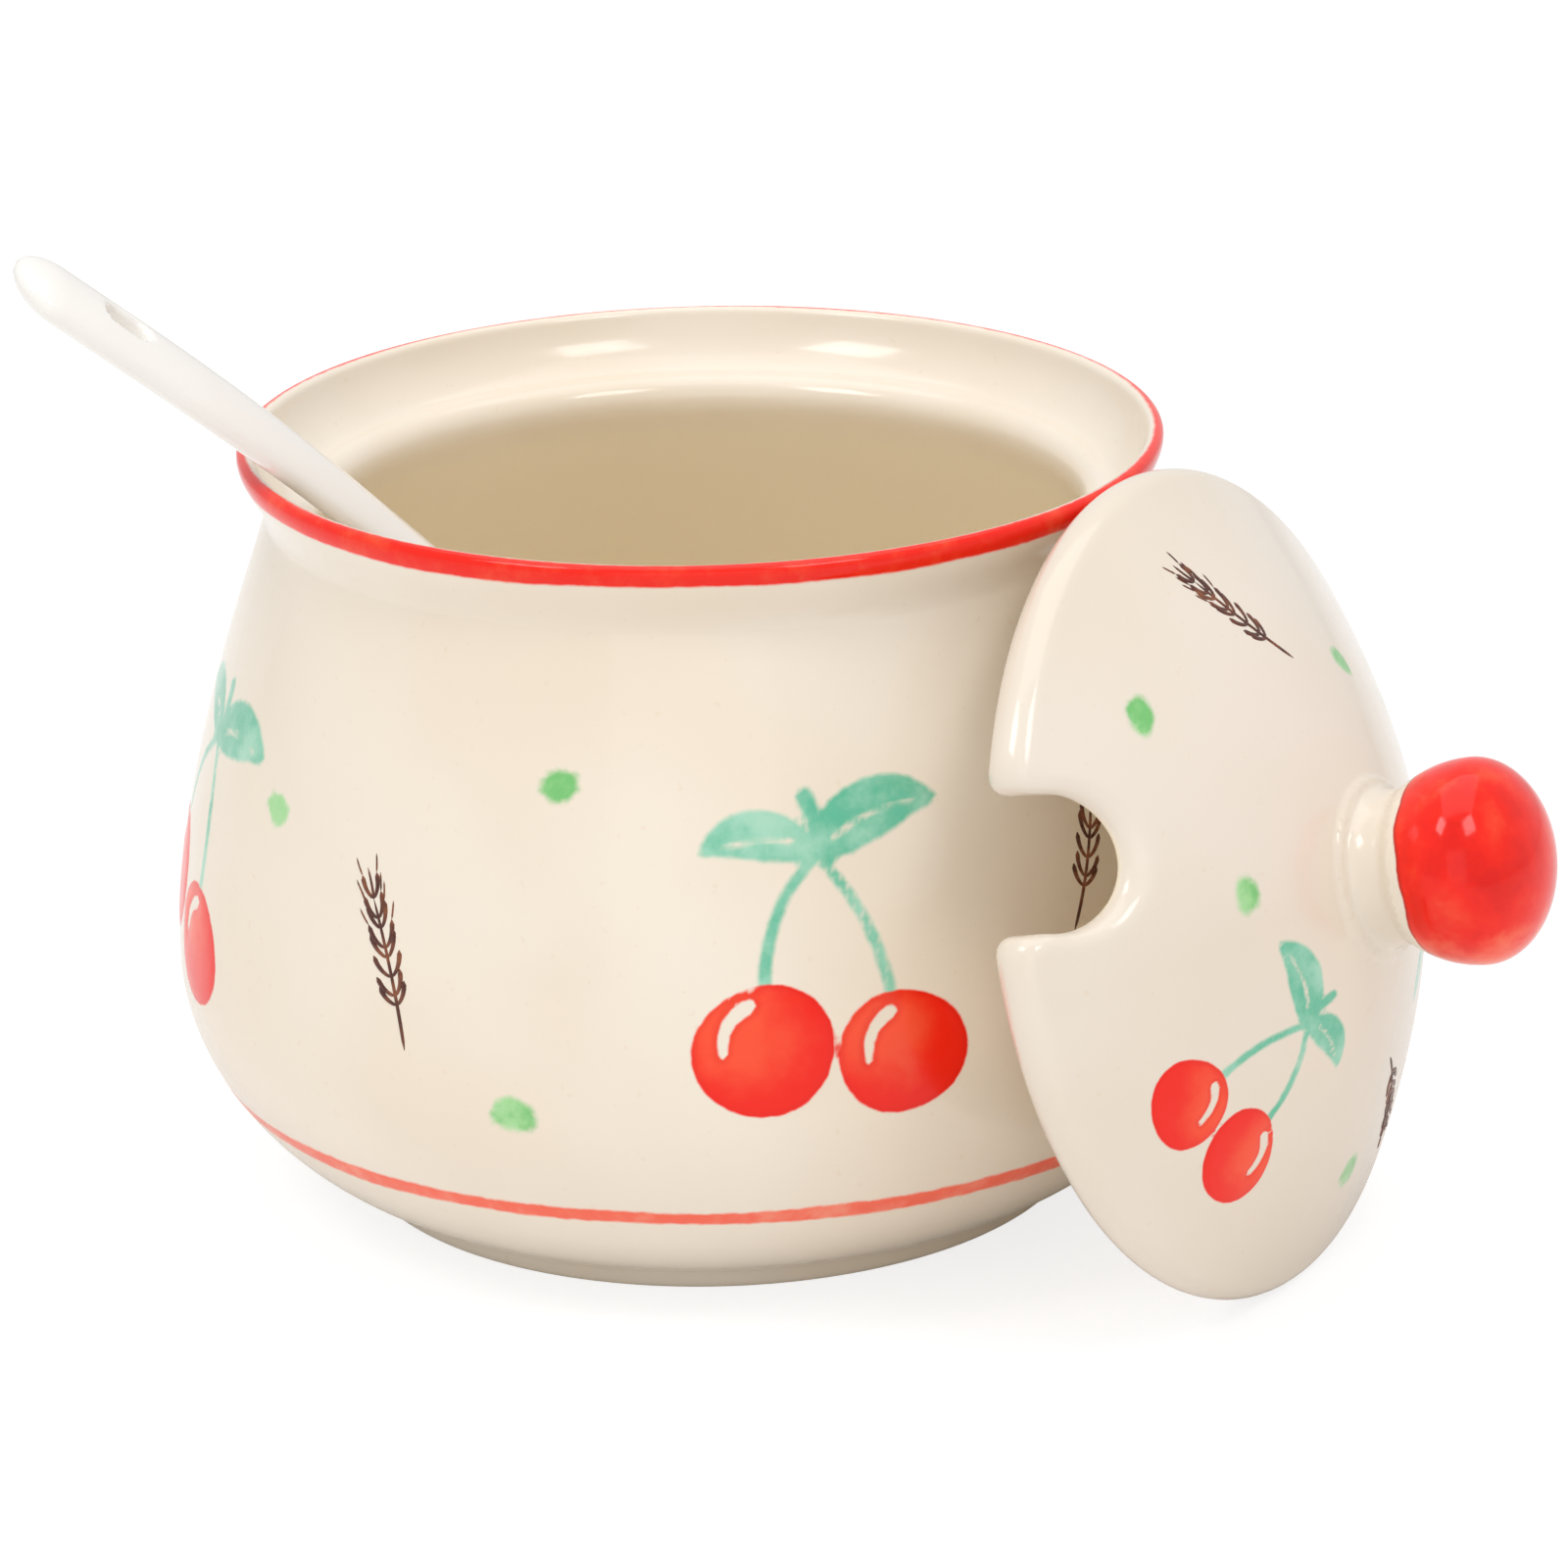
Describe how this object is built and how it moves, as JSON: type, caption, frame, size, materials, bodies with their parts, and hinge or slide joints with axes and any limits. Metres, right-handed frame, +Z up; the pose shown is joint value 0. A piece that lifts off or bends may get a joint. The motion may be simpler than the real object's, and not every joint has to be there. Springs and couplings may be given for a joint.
{
  "type": "seasoning jar",
  "caption": "Round-bellied glazed ceramic seasoning jar with a flared lip, a cone lid with spoon notch and ball knob, and a ceramic spoon, shown open with the lid leaning on the jar.",
  "frame": {"origin": "middle of the footprint of the open set, on the table", "axes": "+Z up; +X from the spoon's handle end toward the leaning lid; the picture is taken from -Y"},
  "size_m": [0.1486, 0.1244, 0.1033],
  "materials": {
    "jar_glaze": "gloss cream glaze with painted bands and motifs",
    "lid_glaze": "gloss cream glaze with painted motifs",
    "knob_glaze": "gloss red glaze",
    "spoon_glaze": "gloss white glaze"
  },
  "bodies": {
    "jar": {"jar_body": "jar_glaze"},
    "lid": {"lid_dome": "lid_glaze", "lid_knob": "knob_glaze"},
    "spoon_loose": {"spoon": "spoon_glaze"}
  },
  "joints": [
    {"name": "lid_lift", "type": "slide", "parent": "jar", "child": "lid", "axis": [0, 0, 1], "range_m": [0, 0.11]},
    {"name": "spoon_lift", "type": "slide", "parent": "jar", "child": "spoon_loose", "axis": [-0.507, -0.154, 0.8481], "range_m": [0, 0.11]}
  ]
}
